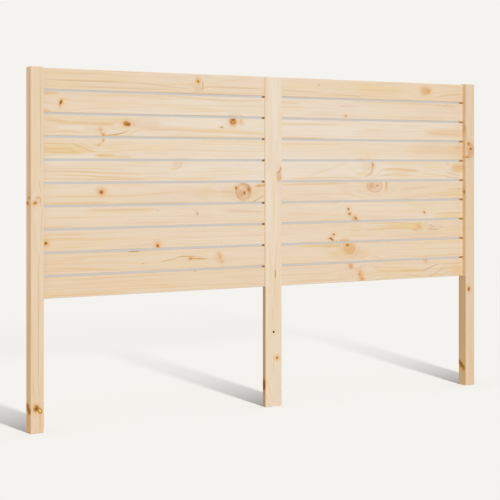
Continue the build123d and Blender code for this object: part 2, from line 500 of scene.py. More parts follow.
# Each board's marks: along from the headboard's middle or the floor, and off its own middle line
CUTS = {}
CUTS["slat_01"] = board(11, (0.41, 0.3, 0.46), figure=0.28, shade=1.007, front=[
    knot(-257.2, 7.6, 4.8, 6, 1, 1, "orange", tilt=0.5),
    knot(-255.8, 6, 2.6, 3.6, 0.9, tilt=0.5),
    knot(-241.4, -2.9, 2.8, 13.5, 0.6, 0.2, "amber"),
    knot(166.5, 11, 3.6, 2.8, 0.5, 0.2, "brown"),
    knot(594.5, 3.5, 10, 13.5, 0.75, 0.6, "orange", core=0),
    knot(579, 3, 14, 12.5, 0.35, 0.8, "rose", rim=0.14, edge=0.25),
    knot(583, 3, 18, 15, 0.18, 0, "orange", core=0.4),
    knot(577.8, 2.5, 2.6, 2.2, 0.5, 0.2, "orange", heart=0.2),
    streak("pink", -256, 15, 12, 14, 0.4),
    streak("pink", -256, -8, 14, 8, 0.4),
    streak("grey", -253.5, -16.2, 21, 1.7, 0.9, bow=6),
    streak("pink", -256, -23, 24, 4, 0.6),
    streak("honey", -640, 16.5, 100, 2, 0.45, 0.045),
    streak("grey", -610, -3, 130, 2.2),
    streak("grey", -380, -8.5, 110, 2, 0.45, rise=-11),
    streak("grey", -480, -19.8, 170, 1.8, 0.35),
    streak("honey", -520, -18.5, 220, 3, 0.35),
    streak("straw", -700, -16, 100, 12, 0.35),
    streak("grey", -130, -8, 105, 2.2, 0.6, 0.006),
    streak("honey", -150, 13, 85, 2, rise=20),
    streak("grey", 105, -11.8, 85, 2.2, 0.5, -0.022),
    streak("grey", 265, -18.2, 75, 2, 0.38, -0.07),
    streak("straw", 400, -2, 100, 24, 0.35),
    streak("pink", 660, 4, 80, 2.6, 0.4, 0.12),
    streak("grey", 680, -8.5, 60, 2, 0.4, 0.11),
    streak("grey", 700, -16, 50, 1.8, 0.3, 0.05),
    streak("straw", 680, 21, 70, 5, 0.4),
])
CUTS["slat_02"] = board(22, (0.34, 0.02, 0.34), figure=0.22, front=[
    knot(-685.1, -0.3, 4.4, 7.6, 1, 1, "brown", tilt=-0.45),
    knot(-686.2, -2, 3, 3.8, 0.8, tilt=-0.45, heart=0.35),
    knot(-682.5, 4.2, 3.6, 3, 0.7, 0, "orange"),
    knot(-688.5, -10, 3, 5, 0.55, 0.4, "orange"),
    knot(-675, 0.5, 6, 8, 0.3, 0.3, "gold", core=0),
    knot(267, -20.5, 4.6, 4.2, 0.45, 0.4),
    knot(-130.5, -32, 24, 14, 0.3, 0, "pink", rim=0.15),
    streak("honey", -260, 22.5, 150, 3, 0.6, -0.04),
    streak("honey", -120, 18.5, 100, 4.2, 0.4, 0.02),
    streak("honey", -500, 24.5, 200, 3.6, 0.35),
    streak("honey", -722, 24.5, 34, 6, 0.8),
    streak("honey", -732, -25, 16, 5, 0.8),
    streak("pale", -300, -22, 270, 6, 0.7),
    streak("pale", -270, 8, 110, 12, 0.7),
    streak("pink", -460, -8, 120, 1.8, 0.35, 0.06),
    streak("honey", -260, 1, 160, 1.8, 0.25),
    streak("honey", 480, 25, 220, 4),
    streak("honey", 55, 16, 50, 4),
    streak("pink", 285, 11.5, 45, 4, 0.55),
    streak("honey", 530, 11, 140, 2.6, 0.3),
    streak("pink", 660, -2, 75, 1.8, 0.55, -0.03),
    streak("honey", 550, -20, 150, 2, 0.3),
    streak("grey", 661, 18.5, 20, 1.6, 0.45, 0.5),
    streak("grey", 680, 18, 20, 1.6, 0.45, 0.5),
    streak("grey", 700, 19, 20, 1.4, 0.35, 0.5),
    streak("pink", 660, 22, 50, 6, 0.4),
])
CUTS["slat_03"] = board(33, (0.34, 0.0, 0.22), figure=0.18, front=[
    knot(-489, 7.8, 8.5, 7.8, 1, 0.9, "orange"),
    knot(-480, 6.4, 7, 7, 0.85, 0.6, "brown"),
    knot(-464, 5, 9, 8, 0.4, 0, "rose", core=0.1),
    knot(-485, 5.4, 10.5, 4.6, 0.65),
    knot(-487, 8, 11, 8.5, 0.35, core=0.4),
    knot(-478.5, 5.6, 4, 4.2, 0, heart=0.4),
    knot(-139.1, 20, 15, 15, 0.85, 0.7, "rose"),
    knot(-139.1, 21, 12.2, 12.2, 0.85, 0, "orange", core=0.4),
    knot(-138, 24.5, 6, 5, 0.8, heart=0.45),
    knot(-146, 17, 3.6, 5, 0.75),
    knot(-140, 13, 3, 3, 0.5),
    knot(-147, 24.5, 3.4, 3, 0.6),
    knot(-132, 16, 3.4, 4, 0.65),
    knot(-112, 20, 9, 10.5, 0.5, 0.3, "amber", core=0.1),
    knot(-177.5, 1.2, 6, 1.9, 0.75, 0.2, "brown"),
    knot(-567, -8.8, 8, 5.2, 0.55, 0.5, "amber", core=0.2),
    knot(-564, -16, 2.4, 8, 0.6, 0, "amber", tilt=0.4),
    knot(-558, -24.5, 4, 4.6, 0.8, 0.6, "orange"),
    knot(-567, -23, 6, 5.5, 0.45, 0.2, "pink", core=0.1),
    streak("honey", -700, 13, 40, 6, 0.75, -0.08),
    streak("honey", -640, 7.5, 60, 5.8, 0.75),
    streak("pale", -655, -6, 50, 6, 0.8),
    streak("grey", -585, -10, 36, 1.1, 0.45),
    streak("grey", -177.5, 5.6, 10, 1.2, 0.8, bow=-4),
    streak("honey", -562, 6, 42, 6.2, 0.8),
    streak("straw", -672, -16.5, 48, 2.4, 0.9, bow=-6),
    streak("amber", -518, -22.8, 44, 2, 0.95, 0.17, bow=4),
    streak("brown", -515, -22.8, 26, 1.1, 0.45, 0.17, bow=2),
    streak("straw", -500, -26.5, 45, 3.5, 0.6),
    streak("honey", -462, -15, 26, 2.6, 0.5, 0.36),
    streak("honey", -360, -5, 100, 8, 0.4, -0.02),
    streak("pink", -430, 6, 60, 15, 0.35),
    streak("honey", -170, -8, 140, 7.5, 0.18),
    streak("straw", -160, -11, 150, 7.5, 0.6, -0.028),
    streak("honey", -110, -13.5, 100, 1.4, 0.4, -0.028),
    streak("straw", -170, -27, 170, 3, 0.7),
    streak("pale", -270, 13, 120, 12, 0.8),
    streak("honey", 140, 16, 125, 3.4, 0.55),
    streak("honey", 100, -26.2, 90, 3.4, 0.65),
    streak("pale", 150, -3, 160, 12, 0.7),
    streak("straw", 365, 3.5, 55, 2.6, 0.55, -0.17),
    streak("honey", 655, -7.5, 85, 5, 0.75, -0.045),
    streak("honey", 680, -4, 110, 19),
    streak("amber", 660, -8.5, 70, 2, 0.2, -0.05),
    streak("honey", 722, 3, 30, 5, 0.6),
])
CUTS["slat_04"] = board(44, (0.32, 0.05, 0.3), ring=0.0065, shade=1.004, painted_end_warmth=0.3, front=[
    knot(-558.1, 24, 3.4, 6.8, 0.7, 0.5, "amber", tilt=-0.5),
    knot(-569.8, 12, 9, 5, 0.35, 0.3, "amber", tilt=0.5),
    knot(324, -33.5, 24, 10.5, 0.32, 0.3, "amber", core=0.3, rim=0.05),
    knot(-319.5, -35, 30, 12.5, 0.22, 0, "rose", core=0.3),
    knot(351.6, -24, 3.6, 3, 0.3, 0.3, "gold"),
    streak("straw", -680, -2, 100, 18, 0.75),
    streak("honey", -700, 14, 45, 2.4, 0.95),
    streak("honey", -620, 3, 46, 2.8, 0.9, rise=-24),
    streak("honey", -695, 0, 50, 2.8, 0.85),
    streak("honey", -648, -6.5, 26, 2.8, 1, rise=-14),
    streak("honey", -680, -10.8, 58, 3, 0.85, -0.03),
    streak("amber", -695, -0.5, 50, 1.4, 0.25),
    streak("amber", -620, 2.5, 40, 1.4, 0.25, rise=-24),
    streak("grey", -590, 17, 14, 1.4, 0.3, rise=-16),
    streak("straw", -400, 4, 200, 22, 0.22),
    streak("straw", 300, 4, 360, 20, 0.12),
    streak("amber", -690, -11, 50, 1.4, 0.2, -0.03),
    streak("honey", -610, 8.5, 26, 2, rise=-18),
    streak("honey", -690, 21, 50, 1.8, 0.35, 0.03),
    streak("pale", -660, -23.5, 85, 6, 0.9),
    streak("honey", -552, -18.8, 36, 5.8, 0.9, -0.02),
    streak("honey", -505, -22.2, 36, 4.5, 0.5, -0.06),
    streak("amber", -565, -18.5, 20, 2.6, 0.25),
    streak("straw", -520, 8.5, 55, 2.2, 0.7, rise=16),
    streak("straw", -420, 3, 60, 2.2, 0.7, rise=18),
    streak("straw", -380, -8, 70, 2, 0.45, rise=10),
    streak("straw", -130, 24.5, 150, 4.5, 0.6),
    streak("pale", -240, -24, 50, 4.5, 0.9),
    streak("pale", -60, -25, 40, 4, 0.8),
    streak("honey", 140, 19.5, 130, 2.6, 0.45, -0.012),
    streak("pale", 80, -26.2, 70, 3.5, 0.8),
    streak("pale", 460, -25, 80, 3.5, 0.8),
    streak("honey", 650, 6, 150, 23, 0.35),
    streak("honey", 705, 4, 60, 20, 0.45),
    streak("honey", 690, 13, 70, 4),
    streak("amber", 725, 13, 35, 6, 0.25),
])
CUTS["slat_05"] = board(55, (0.22, -0.05, 0.25), figure=0.16, front=[
    knot(-326.5, 20, 15, 10, 0.45, 0.15, "pink"),
    arc(-327, 21, 16, 14, 0.3, (1, 0.1), edge=0.14),
    knot(372.5, 17, 3, 5, 0.2),
    knot(345, 14, 24, 14, 0.3, 0.15, "pink", core=0.2),
    knot(372.2, 17.5, 6.2, 10, 0.62, 0.5, "orange", core=0.1),
    knot(369, -1, 4.2, 13, 0.4, 0.2, "amber", core=0, tilt=-0.2),
    arc(338, 12, 34, 31.5, 0.32, (1, -0.3), edge=0.15),
    arc(333, 16, 27, 21, 0.1, (0.8, -0.4), edge=0.16),
    streak("straw", -335, 6.6, 16, 2.8, 1, bow=5),
    streak("straw", 330, -8.5, 30, 8),
    streak("honey", -620, 15, 130, 1.6, 0.4, -0.01),
    streak("honey", -620, 8.8, 150, 2.2, 0.55, -0.012),
    streak("honey", -580, -3, 170, 2.8, 0.8, rise=-10),
    streak("honey", -560, -14.5, 180, 2.8, 0.78, rise=-13),
    streak("honey", -580, -22.2, 170, 2.2, 0.8, -0.012),
    streak("honey", -440, 16.5, 100, 1.8, 0.35, -0.04),
    streak("honey", -360, -19, 70, 2.2, 0.5, -0.08),
    streak("straw", -140, -9, 130, 2.4, 0.45, 0.02),
    streak("pale", -270, 0, 80, 22, 0.6),
    streak("straw", -160, 8, 110, 1.8, 0.3),
    streak("honey", 200, -20.5, 150, 2.6, 0.85, bow=-3),
    streak("straw", 200, 5, 85, 3, rise=36),
    streak("straw", 150, 13, 90, 2.4, 0.3, rise=18),
    streak("honey", 455, 5.5, 52, 5.5, 0.8, bow=-4),
    streak("honey", 510, 2.5, 50, 6, 0.75, -0.06),
    streak("amber", 505, 2, 40, 2.6, 0.15, -0.06),
    streak("grey", 390, -10, 24, 2, 0.45, rise=24),
    streak("honey", 460, -13, 70, 4, 0.7, bow=-4),
    streak("honey", 565, -19, 50, 2, 0.5, -0.11),
    streak("honey", 605, -12, 65, 2.2, 0.6, -0.11),
    streak("straw", 615, 11, 48, 5, 0.4),
    streak("grey", 692, -10.5, 30, 2.4, 0.6, rise=-8),
    streak("grey", 672, -19, 22, 2.2, rise=-8),
    streak("grey", 700, -23, 34, 1.8, 0.35, -0.05),
    streak("honey", 718, 8, 32, 19, 0.95),
    streak("amber", 722, 13, 24, 2.6, 0.4),
    streak("amber", 730, 6, 14, 2.2, 0.35, 0.2),
    streak("grey", 674, 21.5, 6, 3),
])
CUTS["slat_06"] = board(66, (0.32, 0.22, 0.4), figure=0.18, front=[
    knot(-563.5, 6.8, 11.5, 10, 0.6, 0.9, "rose", core=0.3),
    knot(-564, 6.4, 7.2, 6.2, 0.9, 0, "orange"),
    knot(-564.4, 5.8, 5, 4.6, 1, heart=0.25),
    knot(-564, 6.4, 11, 9.5, 0.2, core=0),
    knot(-103.5, 2.5, 26.5, 24.5, 0.6, 0.8, "pink"),
    knot(-113, -3, 18, 18, 0.75, 0, "rose", core=0.2),
    knot(-87, 6, 12, 17, 0.7, 0, "rose", core=0.2),
    knot(-112, -6, 15, 14, 0.26, 0, "orange", core=0),
    knot(-109, 13, 8, 4.5, 0.5, 0, "pale", core=0.2),
    arc(-103.5, 3, 26.2, 24.2, 0.6, (0.55, 0.8), edge=0.18),
    arc(-103.5, 3, 26.2, 24.2, 0.48, (-0.9, -0.1), edge=0.13),
    arc(-103.5, 2, 26.2, 24.5, 0.28, (0.3, -0.9), edge=0.16),
    arc(-99, 1, 16, 16.5, 0.45, (0.85, 0.5), edge=0.22),
    knot(-128.6, 13.8, 5.6, 6.2, 1, 0.3, "orange", tilt=0.4),
    knot(-129, 12.5, 3, 3.6, 0.7),
    knot(-85, 8.8, 5.8, 8, 0.95, 0.3, "orange", tilt=0.3),
    knot(-86, 8, 3, 5, 0.6, tilt=0.3),
    knot(-100, -1.4, 7.2, 9, 0.6, 0.5, "orange", core=0.2),
    knot(-100, -1.4, 4.2, 6, 1, 0, "brown"),
    knot(378.5, 16.5, 28.5, 20.5, 0.5, 0.5, "pink"),
    knot(365, 16.5, 16.5, 15, 0.75, 0, "rose", core=0.2),
    arc(378.5, 16.5, 29, 20.5, 0.5, (0.8, -0.6), edge=0.08),
    arc(378.5, 16.5, 29, 20.5, 0.38, (-0.8, -0.6), edge=0.09),
    knot(365, 16.5, 15, 14, 0.16, 0, "orange", core=0),
    knot(389.3, 17.1, 4.4, 3.2, 0.85, 0.3, "brown"),
    knot(424.5, 15, 5.8, 18, 0.7, 0.3, "amber", core=0.1),
    arc(383, 16, 44, 33, 0.08, (0, -1), edge=0.08),
    streak("honey", -610, -5.6, 140, 2.6, 0.75),
    streak("honey", -420, -2.5, 90, 2.6, 0.6, 0.07),
    streak("honey", -640, -24, 110, 3.4, 0.95),
    streak("honey", -420, -26.2, 140, 2.6, 0.7),
    streak("pink", -270, 1, 150, 20, 0.15),
    streak("honey", -105, 0, 80, 26, 0.35),
    streak("grey", -160, 3, 30, 3.6, 0.22, -0.1),
    streak("amber", -44, 20.5, 22, 5, 0.8, 0.06),
    streak("amber", -53, -20, 26, 2.4, 0.95, rise=18),
    streak("honey", 150, 23.5, 150, 4, 0.75, 0.01),
    streak("honey", 170, -7.2, 130, 2.2, 0.55),
    streak("honey", 300, -15, 50, 2, 0.4, -0.15),
    streak("honey", 160, -22.5, 140, 2, 0.4),
    streak("pink", 540, 8, 70, 4.5, 0.45, 0.04),
    streak("honey", 590, -11, 150, 2.2, 0.55, 0.05),
    streak("honey", 600, -19, 150, 2.2, 0.5, 0.02),
    streak("honey", 715, 3, 50, 4.5, 0.55),
    streak("honey", 690, -16, 70, 4, 0.7),
])
CUTS["slat_07"] = board(77, (0.36, 0.28, 0.26), figure=0.15, front=[
    knot(-259.2, 3.5, 2.6, 6.6, 0.5, 0.2, "brown"),
    knot(-263.8, 12.6, 2.6, 1.4, 0.55, 0, "brown"),
    knot(-320, 7.5, 1.6, 2, 0.45, 0, "brown"),
    knot(-388, 14.5, 3.4, 1.4, 0.45, 0, "brown"),
    knot(-503, -4, 1.5, 1.5, 0.45, 0, "brown"),
    knot(277.2, 7.8, 4.4, 4.2, 0.9, 0.7, "brown", heart=0.3),
    knot(281.6, -7.5, 8.5, 6.4, 0.6, 0.6, "rose", tilt=-0.6),
    knot(281.6, -7.5, 6, 4.4, 0.85, 0, "orange", tilt=-0.6),
    knot(302, -21.5, 13, 8.5, 0.6, 0.7, "rose", tilt=-0.4),
    knot(281.8, -8, 3.6, 2.6, 0.75, tilt=-0.6),
    knot(305, -21.5, 7.5, 5.2, 0.8, 0.5, "orange", tilt=-0.5),
    knot(306, -21.5, 4.6, 3.4, 0.4, tilt=-0.5),
    knot(577.3, -7.6, 6, 5, 0.75, 0.4, "orange", tilt=-0.7),
    knot(577.6, -8, 3.4, 2.8, 0.7, tilt=-0.7),
    streak("honey", -500, 19.5, 130, 5),
    streak("straw", -500, 15, 120, 8, 0.4),
    streak("honey", -680, -0.3, 70, 1.8, 0.4),
    streak("honey", -700, -24, 60, 4),
    streak("pink", -105, 8.5, 80, 6.2, 0.5, -0.045),
    streak("grey", -100, 8, 65, 2.2, 0.18, -0.05),
    streak("honey", 690, -12, 70, 3.4, 0.8),
    streak("straw", 690, -24, 80, 6, 0.6),
])
CUTS["slat_08"] = board(88, (0.42, 0.28, 0.42), front=[
    knot(-729.2, -4.8, 6.8, 6.4, 0.9, 1, "orange", core=0.4),
    knot(-729.2, -4.8, 4, 4, 0.95),
    knot(-388.5, -22, 5.4, 6.2, 1, 1, "orange", heart=0.15),
    knot(-388.5, -22.5, 3.6, 4, 1),
    knot(-388.5, -15, 10, 9, 0.2, 0.5, "orange", core=0),
    knot(221.6, -6.2, 5.2, 3.4, 0.95, 0.7, heart=0.2),
    knot(212.1, -18.8, 5.6, 4, 0.95, 0.8, tilt=-0.3, heart=0.45),
    knot(217, -23, 4, 3.4, 0.9, 0.4, tilt=-0.6),
    knot(204, -17.8, 6, 2.2, 0.5, 0.2, "orange"),
    knot(264, -33, 22, 14, 0.5, 0.4, "amber", rim=0.08, edge=0.12),
    knot(552, 11, 18, 13, 0.25, 0.3, "amber", core=0),
    knot(559, 10, 4.5, 14, 0.45, 0, "orange", core=0, tilt=0.8),
    knot(535, 0.5, 15, 3.4, 0.3, 0, "orange", core=0),
    knot(598, 2, 14, 8, 0.6, 0, "rose", core=0.1),
    knot(585, 18.5, 5, 7.5, 0.45, 0.2, "rose", core=0.1),
    streak("honey", -685, 18, 85, 4.5, 0.6),
    streak("honey", -675, 6.2, 85, 3, 0.7),
    streak("honey", -540, 3.5, 90, 2, 0.45),
    streak("straw", -665, -19, 60, 2.2, 0.8, 0.03),
    streak("pink", -220, 14, 180, 2, 0.45, -0.01),
    streak("pink", -220, -2, 180, 1.8, 0.3),
    streak("straw", 223, -25, 16, 4, 0.9),
    streak("straw", 170, -26, 80, 4),
    streak("honey", 305, 16, 25, 2.6, 0.65),
    streak("honey", 305, 4, 25, 2.2),
    streak("honey", 440, 24.5, 90, 2.6, 0.85, bow=-2),
    streak("honey", 440, 6.2, 115, 2.4, 0.95, bow=-5),
    streak("honey", 440, 15.5, 80, 1.8, 0.45, bow=-3),
    streak("straw", 500, 13, 100, 12, 0.8),
    streak("honey", 525, 20, 60, 3.4, 0.6),
    streak("honey", 520, 6, 70, 4, 0.8, -0.05),
    streak("straw", -640, -4, 110, 16, 0.22),
    streak("amber", 545, -1, 36, 1.6, 0.45, -0.08),
    streak("grey", 620, -1, 24, 2.6, 0.8, bow=4),
    streak("grey", 608, 12, 16, 2.6, 0.65, -0.45),
    streak("pink", 625, 8, 35, 11),
    streak("honey", 630, -15, 100, 2.2, 0.6),
    streak("honey", 600, -23, 130, 2),
    streak("grey", 680, 7, 50, 2, 0.3, 0.05),
])
CUTS["slat_09"] = board(99, (0.54, 0.4, 0.36), figure=0.22, front=[
    knot(-434.8, -7.4, 3.2, 2.2, 0.5, 0.2, "brown"),
    knot(-188, 12.5, 8, 8, 0.5, 0.3, "rose", core=0.1),
    knot(-182.2, 1, 5.8, 11.5, 0.75, 0.3, "amber", core=0.1, tilt=0.25),
    knot(-177, -12.5, 9, 7.5, 0.5, 0.3, "rose", core=0.1),
    knot(-281.9, 1, 7.8, 3, 0.8, 0.6, "orange"),
    knot(-281.9, 0.8, 4.4, 1.8, 0.8, 0, "brown"),
    knot(274.1, 23, 7.8, 5.6, 1, 1, "orange"),
    knot(273, 22.5, 4.4, 3.4, 0.5),
    knot(278.5, 15, 25.5, 20, 0.24, 0.8, "orange", core=0.5, tilt=-0.3),
    arc(278.5, 15, 25.5, 19.5, 0.3, (0.8, -0.6), edge=0.15),
    arc(272, 18, 23, 12, 0.15, (0.8, -0.5), edge=0.18),
    arc(283, 12, 35, 27, 0.12, (0.8, -0.6), edge=0.12),
    streak("honey", -184, 1, 18, 20, 0.45),
    streak("pink", -262, 6.2, 30, 2, 0.8, -0.14),
    streak("pink", 385, -18, 22, 4, 0.5, -0.35),
    streak("amber", -350, 0, 32, 1.6, 0.75, 0.16),
    streak("amber", -298, 7.8, 36, 2.2, 0.9, -0.02, bow=-4),
    streak("pink", -285, 8.8, 30, 2.2, 0.7, -0.04),
    streak("amber", -256, -0.4, 32, 2, 1, -0.05),
    streak("brown", -262, 0, 18, 1, 0.5, -0.05),
    streak("brown", -463, 27.5, 20, 2.2, 0.55),
    streak("honey", -620, -15.5, 120, 2.8, 0.85, -0.055),
    streak("honey", -660, 11, 60, 2.2, 0.6, 0.06),
    streak("honey", -580, 18.5, 120, 2.2, 0.5, 0.02),
    streak("honey", -600, 2, 140, 2, 0.45, -0.01),
    streak("honey", -500, -21, 160, 2, 0.45, -0.03),
    streak("straw", 170, 24, 90, 6, 0.8),
    streak("amber", 218, 21.5, 40, 6, 0.35),
    streak("honey", 280, -5, 90, 21, 0.55),
    streak("honey", 630, -22.5, 120, 2.8, 0.7, 0.01),
    streak("honey", 600, 1, 130, 2, 0.4, 0.01),
    streak("honey", 450, -8, 100, 2, 0.35),
    streak("straw", 660, 23, 90, 6, 0.6),
])
CUTS["slat_10"] = board(110, (0.52, 0.34, 0.5), figure=0.26, front=[
    knot(286.7, 19.8, 12, 9.2, 0.8, 0.4, "rose", tilt=-0.8),
    knot(286.7, 20, 9, 7, 0.35, 0, "orange", core=0.2, tilt=-0.8),
    knot(305, 8, 14, 4, 0.3, 0.2, "pink", tilt=-0.8),
    knot(323.5, -9, 10, 18, 0.5, 0.9, "rose", core=0.3, tilt=0.2),
    knot(324, -9, 12.5, 20, 0.2, 0, "orange", core=0, tilt=0.2),
    arc(325.5, -9.4, 11, 18, 0.25, (1, -0.2), edge=0.14),
    knot(331, -21.5, 10, 6.8, 0.8, 0.5, "orange", core=0.2),
    knot(319.7, -5.8, 3, 3, 0.7, 0.3),
    knot(583, 27, 8, 4.8, 0.9, 0.5, "rose", core=0.3),
    knot(584, 20, 7, 7, 0.3, 0, "amber", core=0),
    knot(602, -23.5, 8, 5, 0.35, 0, "brown", core=0),
    knot(-265.5, 28, 5, 2, 0.5, 0, "brown"),
    streak("honey", -480, 22.5, 200, 2.2, 0.5, 0.008),
    streak("honey", -500, 8.5, 220, 2.2, 0.55, 0.01),
    streak("honey", -500, -5.5, 220, 2.4, 0.6, -0.006),
    streak("honey", -480, -14, 220, 2.2, 0.55, 0.006),
    streak("honey", -600, -22, 140, 3, 0.9),
    streak("straw", -720, -18, 50, 12, 0.4),
    streak("honey", -120, -20, 120, 2.4, 0.45),
    streak("honey", 130, 1, 120, 2.2, 0.4),
    streak("honey", 150, -21, 130, 2.6, 0.7),
    streak("honey", 270, -10, 50, 15, 0.35),
    streak("straw", 450, -4, 140, 10, 0.4),
    streak("grey", 322, 14.5, 26, 2, 0.45, 0.4),
    streak("honey", 430, 10.5, 90, 2.4, 0.7, rise=-10),
    streak("honey", 470, -4, 110, 2.4, 0.65, rise=-4),
    streak("amber", 530, -4.5, 50, 2, 0.5, -0.05),
    streak("honey", 470, -16.5, 110, 2, 0.5, -0.03),
    streak("amber", 532, -19, 38, 2, 0.45, -0.12),
    streak("grey", 600, 3.5, 42, 2.4, 0.8, rise=20),
    streak("grey", 632, -11.5, 32, 2.8, 0.6, rise=22),
    streak("grey", 658, -18.5, 32, 2, rise=12),
    streak("amber", 692, 12.8, 56, 2.2, 0.45),
    streak("grey", 700, 1, 50, 2, 0.3),
    streak("honey", 712, -10, 30, 20),
    streak("honey", 450, 22.5, 100, 2.6),
])
CUTS["left_post"] = board(121, (0.7, 0.5, 0.38), pith=(0.06, 0.05), painted_side_fade=0.15, front=[
    knot(627.8, -6.7, 4.6, 6.8, 1, 1, "orange", tilt=-0.6),
    knot(627.5, -6.8, 2.2, 3.6, 0.8, tilt=-0.6),
    knot(633, 0, 14, 12, 0.3, 0.2, "pink"),
    arc(633, 0, 11, 10, 0.45, (0.75, 0.65), edge=0.2),
    knot(642, 2, 2.2, 9, 0.45, 0.1, "orange"),
    knot(625.7, 9.2, 9, 1.8, 0.45, 0.1, "amber"),
    knot(68.3, -3.6, 10, 9.2, 1, 1, "brown"),
    knot(68.3, -3.6, 6, 5.6, 0.6),
    knot(68.3, -3, 6.8, 6, 0, heart=1),
    knot(72, -8, 5, 5, 0.5, 0, "gold", core=0.1),
    arc(69, -5, 9, 10, 0.7, (0.5, 0.9), edge=0.2),
    knot(61.2, 7.1, 8.8, 6.4, 1, 0.9, "brown", tilt=-0.5),
    knot(61.2, 7.4, 5.2, 3.2, 1, 0, "gold", tilt=-0.5),
    streak("grey", 845, 9, 155, 1.6, 0.6, 0.012),
    streak("grey", 670, 7.5, 25, 1.6, 0.5, -0.15),
    streak("grey", 570, 11, 60, 1.6, 0.4, 0.04),
    streak("amber", 28, 7.2, 34, 1.6, 0.95),
    streak("amber", 290, 3, 210, 1.4, 0.6, 0.005),
    streak("amber", 455, 4, 40, 1.4, 0.45, 0.06),
    streak("grey", 110, 5.5, 30, 1.6, 0.45, -0.1),
    streak("honey", 200, -14, 140, 2.4, 0.6, -0.02),
    streak("grey", 110, -9.5, 34, 1.4, 0.5, -0.18),
    streak("honey", 900, -9, 100, 2, 0.4),
], left=[
    knot(627.1, 8, 6, 10, 1, 1, "orange", core=0.7),
    knot(627.1, 8.5, 5, 8.5, 0.55, 0, "brown"),
    knot(69, 6, 13, 13, 1, 1, "brown"),
    knot(60, -6, 9, 12, 1, 1, "brown", tilt=0.4),
    knot(57, -12, 8, 6, 0.8, 0.9, "orange"),
    streak("brown", 642.1, -10.5, 4.4, 6, 0.6),
    streak("amber", 640.5, -3, 8, 12, 0.6),
    streak("amber", 626.5, -6, 4, 9),
    streak("amber", 15, 0, 40, 22, 0.45),
    streak("honey", 850, -8, 160, 7),
    streak("amber", 620, -10.5, 420, 6, 0.32),
])
CUTS["middle_post"] = board(132, (0.38, 0.16, 0.0), pith=(0.004, 0.055), figure=0.16, shade=1.012, front=[
    knot(696, 21, 15.5, 8.2, 0.7, 0.5, "rose", core=0.4, tilt=0.1),
    knot(690, 22.5, 9, 5, 0.25, 0, "orange"),
    knot(711, 19, 3.2, 9, 0.9, 0.5, "orange", tilt=-0.75),
    knot(720, 24.5, 6, 3, 0.75, 0.4, "orange"),
    arc(696, 21, 15, 8.5, 0.65, (-0.1, -1), edge=0.14),
    knot(401, 6, 16, 2.1, 0.7, 0.4, "brown"),
    # Painted shade: a brown ring round the bore darkens its rim and wall
    knot(225.5, 0, 4.4, 4.4, 1, 0.3, "brown"),
    knot(146.3, 12.2, 5, 5.8, 0.95, 0.9, "orange", tilt=-0.5),
    knot(146.3, 12, 3, 3.4, 0.85),
    streak("honey", 455, 9, 50, 1.8, 0.8, 0.04),
    streak("honey", 362, 4.5, 48, 1.8, 0.8, 0.06),
    streak("straw", 350, -14.2, 13, 10, 0.4),
    streak("straw", 272, -3, 42, 2.2, 1, -0.08, bow=9),
    streak("straw", 52, -16.5, 46, 2.2, 1, -0.33, bow=4.5),
    streak("honey", 52, -16.5, 44, 1.4, 0.7, -0.33, bow=4.5),
    streak("grey", 786, 13, 25, 1.5, 0.4),
    streak("pale", 620, -16, 120, 8, 0.7),
    streak("pink", 920, -25, 80, 1.6, 0.35),
    streak("straw", 800, -6.5, 180, 1.8, 0.6, -0.01),
    streak("straw", 600, 0, 100, 5, 0.55),
    streak("straw", 440, -12, 70, 2.6, 0.5, -0.04),
    streak("straw", 151.6, 1, 16, 4, 0.8),
    streak("honey", 130, -0.5, 34, 1.8, 0.9, bow=4),
], left=[
    knot(67, 0, 17, 11, 1, 1, "brown"),
    knot(68, 0, 12, 11, 0, heart=0.25),
])
CUTS["right_post"] = board(143, (0.68, 0.5, 0.48), pith=(0.07, 0.05), shade=0.95, front=[
    knot(780, 2, 24.5, 15.5, 0.8, 0.5, "rose", core=0.4),
    knot(770, 1, 11, 8, 0.25, 0, "orange", core=0),
    knot(784.6, 2.6, 6.2, 6.8, 0.8, 0.5, "orange"),
    knot(784.6, 2.6, 4, 4.4, 0.95, 0, "brown"),
    knot(801.5, -5.6, 9, 8.8, 0.8, 0.5, "orange", core=0.4),
    knot(802, -6.6, 4.4, 4.4, 0.55),
    knot(758, -10.5, 4.2, 9.5, 0.85, 0.5, "orange"),
    knot(757.5, -10, 2.2, 5, 0.6),
    arc(780, 2, 24, 13, 0.45, (0.2, 1), edge=0.2),
    arc(780, 2, 24, 13, 0.4, (-0.9, 0.1), edge=0.14),
    knot(320.3, -5.3, 10, 6.6, 0.8, 0.8, "rose"),
    knot(320, -5.5, 7.8, 5, 1),
    streak("amber", 840, -16.5, 30, 3, 0.6, -0.1),
    streak("honey", 680, -2, 120, 2.4),
    streak("honey", 600, 9, 150, 2, 0.4),
    streak("honey", 120, -2, 120, 2.2, 0.45),
    streak("honey", 70, 3, 50, 3),
    streak("grey", 900, 8, 90, 1.6, 0.3, 0.02),
], left=[
    knot(643.2, -11.2, 8.5, 7, 0.8, 1, "orange", core=0.4),
    knot(643.2, -11.2, 6, 5, 0.4, 0, "brown"),
    knot(74.3, 13, 9.5, 7.5, 0.95, 1, "brown"),
    knot(66.7, 3.8, 10, 8.5, 1, 1, "brown"),
    knot(60, -8, 6, 5, 0.7, 0, "brown"),
    knot(58.7, -6.9, 10, 8.5, 0.9, 1, "orange"),
    streak("pink", 220, 11, 160, 7, 0.7),
    streak("amber", 240, -13, 140, 4, 0.3),
    streak("grey", 220, 13, 170, 4, 0.4),
    streak("grey", 240, -2, 140, 2.6, 0.4),
])
CUTS["rear_batten"] = board(154, (0.5, 0.4, 0.5), figure=0.4, front=[
    knot(550, 6, 5, 4, 0.6, 0.5),
])


def dress_wood():
    """Give each board its own cut of pine."""
    for name, cut in CUTS.items():
        along_axis = 0 if name.startswith("slat") else 2
        give(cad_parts[name], Pine(name, along_axis, cut).sawn())


